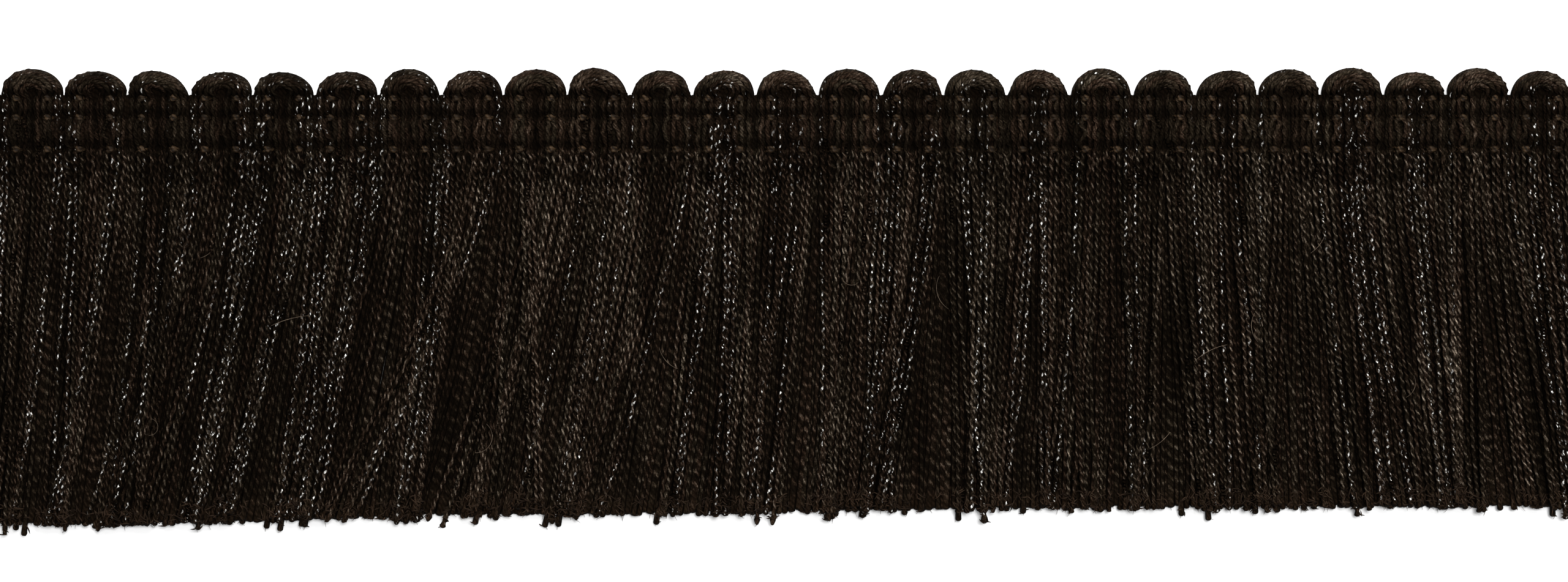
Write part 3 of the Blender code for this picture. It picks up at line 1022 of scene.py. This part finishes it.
def add_bundle(lines, number, rng):
    """Adds one bundle's yarns, each from cut end to cut end over the loop, and its deepest strands."""
    loop_x = TRIM_LEFT + (number + 0.5) * LOOP_PITCH
    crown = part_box(BUNDLES[number])[1].y - CROWN_LINE
    sizes = settings()[0]
    slim, skew = rng.uniform(*CROWN_SLIM), rng.normal(0, CROWN_SKEW)
    clumps = {side: leg_clumps(loop_x + side * LEG_PITCH / 2, rng) for side in (-1, 1)}
    lanes = seat_lanes()
    # The metallic yarns of a bundle lie side by side
    bright = min(LANES, round(METALLIC[number % len(METALLIC)] * sizes.sparkle))
    first = int(rng.integers(0, LANES + 1 - bright))
    ends = []
    for k, seat in enumerate(SEATS):
        halves = []
        for side in (-1, 1):
            leg = leg_keys(seat, loop_x, side, rng)
            skirt = strand_keys(lanes[k], seat.layer, loop_x, side, clumps[side], rng)
            halves.append(skirt[::-1] + leg)
        keys = halves[0] + arch_keys(seat, loop_x, crown, slim, skew, rng) + halves[1][::-1]
        metallic = seat.layer == "front" and first <= lanes[k] < first + bright
        crown_step = CROWN_STEPS["rim" if seat.across > 1.0 else "inside"]
        ends += add_yarn(lines, keys, seat.layer, metallic, rng, crown_step)
    for side in (-1, 1):
        for lane in range(LANES):
            keys = strand_keys(lane, "deep", loop_x, side, clumps[side], rng)
            x, girth = keys[0][0], LAYERS["deep"].girth
            top = DEEP_TOP["inner" if lane >= LANES // 2 else "outer"]
            stem = [(x, CROWN_LINE - depth, DEEP_HEIGHT, girth) for depth in (top, *DEEP_STEM)]
            ends += add_yarn(lines, stem + keys, "deep", False, rng)[1:]
    return ends


class FRINGE_OT_yarns(bpy.types.Operator):
    """Lays the looped bundles of two-ply yarn and their cut strands."""

    bl_idname = "fringe.yarns"
    bl_label = "Lay the yarns"

    def execute(self, context):
        sizes = settings()[0]
        rng = np.random.default_rng(sizes.seed)
        yarn_tree()
        ply_marks_group()
        yarn_tone_group()
        plain = yarn_material("charcoal_yarn_looks", False)
        metallic = yarn_material("metallic_yarn_looks", True)
        ends = []
        for first in range(0, len(BUNDLES), BUNDLES_PER_PIECE):
            numbers = range(first, min(first + BUNDLES_PER_PIECE, len(BUNDLES)))
            lines = Lines()
            for number in numbers:
                ends += add_bundle(lines, number, rng)
            piece = lines.object(f"yarns_{first // BUNDLES_PER_PIECE + 1:02d}")
            sizes_in = dict(ply_radius=sizes.ply_radius, ply_spread=sizes.ply_spread, lay=sizes.lay)
            grown(piece, "two_ply_yarn", **sizes_in, plain=plain, metallic=metallic)
            unroll_map(piece.data, lines.strips)
            used = ("rim", "rim_number", "reach", "strip", "strip_size", "metal", "turn", "girth", "along")
            drop_values(piece.data, *used)
            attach(piece, "root")
            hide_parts(*(BUNDLES[number] for number in numbers))
        add_end_fibres(ends, rng)
        return {"FINISHED"}


def felt_lines(lines, point, way, rng):
    """Adds the short fibres that cross a cut end, every way, up to two millimetres above it."""
    sizes = settings()[0]
    for _ in range(sizes.felt_fibres):
        middle = point - way * rng.uniform(*FELT_ABOVE)
        turn, length = rng.uniform(0, TAU), rng.uniform(*FELT_LENGTH)
        out = np.array((math.cos(turn), math.sin(turn), 0.0)) * length
        bow = np.array((-out[1], out[0], 0.0)) * rng.normal(0, 0.35)
        share = np.linspace(-0.5, 0.5, 4)[:, None]
        points = middle + (rng.uniform(-0.0004, 0.0004), 0.0, rng.uniform(*FELT_OVER)) + out * share
        points += bow * (0.25 - share**2)
        points[:, 1] = np.maximum(points[:, 1], point[1] + 0.00005)
        points[:, 2] = np.minimum(points[:, 2], THICK)
        lines.add(points, girth=FELT_GIRTHS)


def fibre_piece(lines, name, radius, material):
    """Turns lines into a piece of fine fibres."""
    if "fine_fibre" not in bpy.data.node_groups:
        fibre_tree()
    piece = lines.object(name)
    grown(piece, "fine_fibre", radius=radius, material=material)
    drop_values(piece.data, "rim", "rim_number", "girth")
    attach(piece, "root")


def add_end_fibres(ends, rng):
    """Loose fibres that splay from every cut end, and felted ones that cross all but the deepest."""
    sizes, colours, _ = settings()
    lines, felt = Lines(), Lines()
    for point, way in ends:
        if point[2] > FELTED_HEIGHT:
            felt_lines(felt, point, way, rng)
        for _ in range(sizes.fibres_per_end):
            out = way + rng.normal(0, 0.5, 3) * (1.0, 1.0, 0.5)
            out /= np.linalg.norm(out)
            start = point - way * 0.0002 + rng.uniform(-0.00022, 0.00022, 3)
            length = rng.uniform(*SPLAY_LENGTH)
            curl = rng.normal(0, SPLAY_CURL, 3) * (1.0, 1.0, 0.4)
            share = np.linspace(0, 1, 4)[:, None]
            points = start + out * length * share + curl * share**2
            points[:, 2] = np.clip(points[:, 2], sizes.fibre_radius, THICK)
            lines.add(points, girth=SPLAY_GIRTHS)
    loose = fibre_material("end_fibre_looks", colours.warm, 0.5)
    felted = fibre_material("felt_looks", colours.felt, 0.6)
    fibre_piece(lines, "end_fibres", sizes.fibre_radius, loose)
    fibre_piece(felt, "felted_ends", sizes.fibre_radius, felted)


class FRINGE_OT_binding_rows(bpy.types.Operator):
    """Draws the three rows of binding thread across the legs."""

    bl_idname = "fringe.binding_rows"
    bl_label = "Bind the heading"

    def execute(self, context):
        sizes = settings()[0]
        material = thread_material()
        binding_tree()
        length = LEG_PITCH * len(BUNDLES) * 2
        for name, y in zip(ROWS, ROW_Y):
            lines = Lines()
            lines.add(np.array(((0.0, 0.0, 0.0), (0.0, 0.0, 0.001))))
            piece = lines.object(name + "_threads")
            grown(
                piece,
                "binding_row",
                left_end=TRIM_LEFT,
                length=length,
                row=y,
                leg_pitch=LEG_PITCH,
                middle_height=THICK / 2,
                rise=THREAD_RISE,
                radius=sizes.thread_radius,
                points=int(length / THREAD_STEP),
                material=material,
            )
            drop_values(piece.data, "rim", "rim_number", "girth")
            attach(piece, "root")
            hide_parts(name)
        return {"FINISHED"}


class FRINGE_OT_stray_fibres(bpy.types.Operator):
    """Scatters long loose fibres over the skirt."""

    bl_idname = "fringe.stray_fibres"
    bl_label = "Scatter stray fibres"

    def execute(self, context):
        sizes, colours, _ = settings()
        rng = np.random.default_rng(sizes.seed + 1)
        lines = Lines()
        left, right = CAD_BOX[0].x + 0.004, CAD_BOX[1].x - 0.004
        for _ in range(sizes.stray_fibres):
            middle = np.array((rng.uniform(left, right), CROWN_LINE - rng.uniform(*STRAY_DEPTH), 0.0))
            heading = rng.normal(-TAU / 4, 0.7)
            length = rng.uniform(*STRAY_LENGTH)
            bend = rng.normal(0, STRAY_BEND)
            share = np.linspace(-0.5, 0.5, 14)
            angle = heading + bend * share
            ways = np.column_stack((np.cos(angle), np.sin(angle), np.zeros(len(share))))
            points = middle + np.cumsum(ways * length / len(share), axis=0)
            points[:, 2] = STRAY_HEIGHT + 0.0001 * np.cos(share * TAU) + rng.uniform(0, 0.0002)
            lines.add(points, girth=1.0 - 0.5 * np.abs(share) * 2)
        material = fibre_material("stray_fibre_looks", colours.fibre, 0.4)
        fibre_piece(lines, "stray_fibres", sizes.fibre_radius * 1.2, material)
        return {"FINISHED"}


def floor_material():
    """A dull, nearly white floor."""
    colours = settings()[1]
    material, tree, shader = new_material("pale_floor")
    drift = noise(tree, 8.0, vector=object_place(tree))
    shade = blend_colours(tree, drift, rgba(colours.floor, 0.99), rgba(colours.floor))
    feed(tree, shader, {"Base Color": shade, "Roughness": 0.9, "Specular IOR Level": 0.1})
    return material


def add_light(name, place, size, power):
    """Adds a round, soft light that points at the origin."""
    data = bpy.data.lights.new(name, "AREA")
    data.shape = "DISK"
    data.size = size
    data.energy = power
    light = bpy.data.objects.new(name, data)
    light.location = place
    light.rotation_euler = (-Vector(place)).to_track_quat("-Z", "Y").to_euler()
    bpy.context.collection.objects.link(light)


class FRINGE_OT_stage(bpy.types.Operator):
    """Sets the pale floor, the soft lights and the camera straight above the trim."""

    bl_idname = "fringe.stage"
    bl_label = "Set the stage"

    def execute(self, context):
        stage = settings()[2]
        scene = context.scene
        floor_data = bpy.data.meshes.new("floor")
        half, low = FLOOR_HALF, -FLOOR_DROP
        corners = ((-half, -half, low), (half, -half, low), (half, half, low), (-half, half, low))
        floor_data.from_pydata(corners, (), ((0, 1, 2, 3),))
        floor_data.materials.append(floor_material())
        floor = bpy.data.objects.new("floor", floor_data)
        context.collection.objects.link(floor)
        for light in LIGHTS:
            add_light(light.name, light.place, light.size, stage.key * light.share)
        world = bpy.data.worlds.new("soft_light")
        world.use_nodes = True
        background = world.node_tree.nodes["Background"]
        background.inputs["Color"].default_value = (1.0, 1.0, 1.0, 1.0)
        background.inputs["Strength"].default_value = stage.sky
        scene.world = world
        scene.view_settings.view_transform = "Standard"
        data = bpy.data.cameras.new("camera")
        data.lens = stage.lens
        camera = bpy.data.objects.new("camera", data)
        loop_in_view = TRIM_LEFT + 1.5 * LOOP_PITCH
        middle_x = loop_in_view + stage.frame_width / 2 - LOOP_INSIDE_EDGE
        distance = stage.frame_width * data.lens / data.sensor_width
        camera.location = (middle_x, CROWN_LINE - stage.crown_above, distance)
        context.collection.objects.link(camera)
        data.clip_start, data.clip_end = 0.01, 10.0
        scene.camera = camera
        return {"FINISHED"}


class FRINGE_PT_panel(bpy.types.Panel):
    """Lists the steps that dress the fringe."""

    bl_label = "Fringe Trim"
    bl_idname = "FRINGE_PT_panel"
    bl_space_type = "VIEW_3D"
    bl_region_type = "UI"
    bl_category = "Fringe"

    def draw(self, context):
        for step in STEPS:
            self.layout.operator(step.bl_idname)
        for group in settings():
            for name in group.__annotations__:
                self.layout.prop(group, name)


STEPS = (FRINGE_OT_yarns, FRINGE_OT_binding_rows, FRINGE_OT_stray_fibres, FRINGE_OT_stage)
CLASSES = (FringeSizes, FringeColours, FringeStage, *STEPS, FRINGE_PT_panel)


def register():
    for cls in CLASSES:
        bpy.utils.register_class(cls)
    bpy.types.Scene.fringe_sizes = bpy.props.PointerProperty(type=FringeSizes)
    bpy.types.Scene.fringe_colours = bpy.props.PointerProperty(type=FringeColours)
    bpy.types.Scene.fringe_stage = bpy.props.PointerProperty(type=FringeStage)


def unregister():
    for name in ("fringe_sizes", "fringe_colours", "fringe_stage"):
        delattr(bpy.types.Scene, name)
    for cls in reversed(CLASSES):
        bpy.utils.unregister_class(cls)


def main():
    register()
    bpy.ops.fringe.yarns()
    bpy.ops.fringe.binding_rows()
    bpy.ops.fringe.stray_fibres()
    bpy.ops.fringe.stage()


if __name__ == "__main__":
    main()
